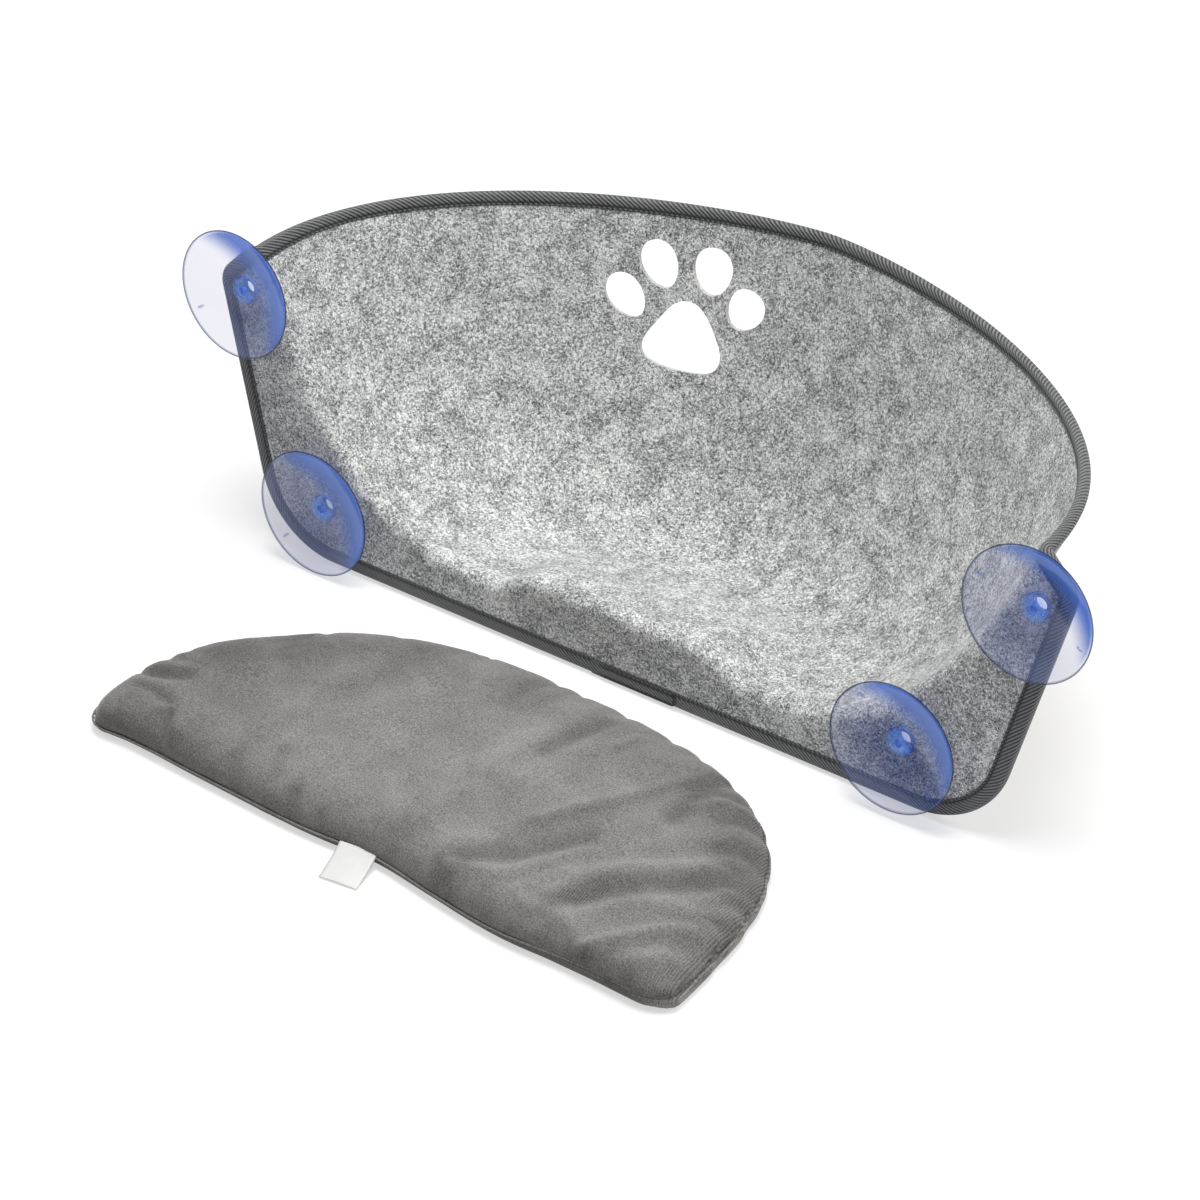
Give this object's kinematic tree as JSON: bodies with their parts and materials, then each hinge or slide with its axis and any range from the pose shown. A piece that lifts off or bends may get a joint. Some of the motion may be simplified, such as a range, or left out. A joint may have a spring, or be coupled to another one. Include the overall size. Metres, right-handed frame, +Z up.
{
  "type": "window cat perch",
  "caption": "Moulded felt bowl with a window flange, clear suction cups that turn in it, taped edges, a paw cut-out in the wall and a loose D-shaped cushion.",
  "frame": {"origin": "on the table, under the middle of the whole set: the perch leaning back on its lower edge and its bowl, and the cushion in front of it", "axes": "+X to the right along the window flange, +Y from the window into the bowl, +Z up from the table"},
  "size_m": [0.662, 0.4918, 0.2158],
  "materials": {
    "felt": "moulded polyester needle felt, mottled light grey",
    "tape": "woven dark grey binding tape with diagonal ribs",
    "clear_cup": "clear soft PVC with a blue tint",
    "cushion_cloth": "short-pile grey velour",
    "cushion_backing": "plain dark grey cloth",
    "filling": "white polyester fibre",
    "label_cloth": "plain white satin ribbon, bare"
  },
  "bodies": {
    "perch": {"felt_shell": "felt", "edge_tape": "tape"},
    "top_left_cup": {"top_left_cup": "clear_cup"},
    "top_right_cup": {"top_right_cup": "clear_cup"},
    "low_left_cup": {"low_left_cup": "clear_cup"},
    "low_right_cup": {"low_right_cup": "clear_cup"},
    "cushion": {"cushion_top_cover": "cushion_cloth", "cushion_base_cover": "cushion_backing", "cushion_filling": "filling", "cushion_label": "label_cloth"}
  },
  "joints": [
    {"name": "top_left_cup_turn", "type": "hinge", "parent": "perch", "child": "top_left_cup", "pos_m": [-0.2885, 0.02111, 0.17151], "axis": [0, -0.9847, 0.1744], "continuous": true},
    {"name": "top_right_cup_turn", "type": "hinge", "parent": "perch", "child": "top_right_cup", "pos_m": [0.2885, 0.01971, 0.16363], "axis": [0, -0.9847, 0.1744], "continuous": true},
    {"name": "low_left_cup_turn", "type": "hinge", "parent": "perch", "child": "low_left_cup", "pos_m": [-0.225, -0.00209, 0.04055], "axis": [0, -0.9847, 0.1744], "continuous": true},
    {"name": "low_right_cup_turn", "type": "hinge", "parent": "perch", "child": "low_right_cup", "pos_m": [0.209, -0.00139, 0.04449], "axis": [0, -0.9847, 0.1744], "continuous": true},
    {"name": "cushion_lift", "type": "slide", "parent": "perch", "child": "cushion", "axis": [0, 0, 1], "range_m": [0, 0.25]}
  ]
}
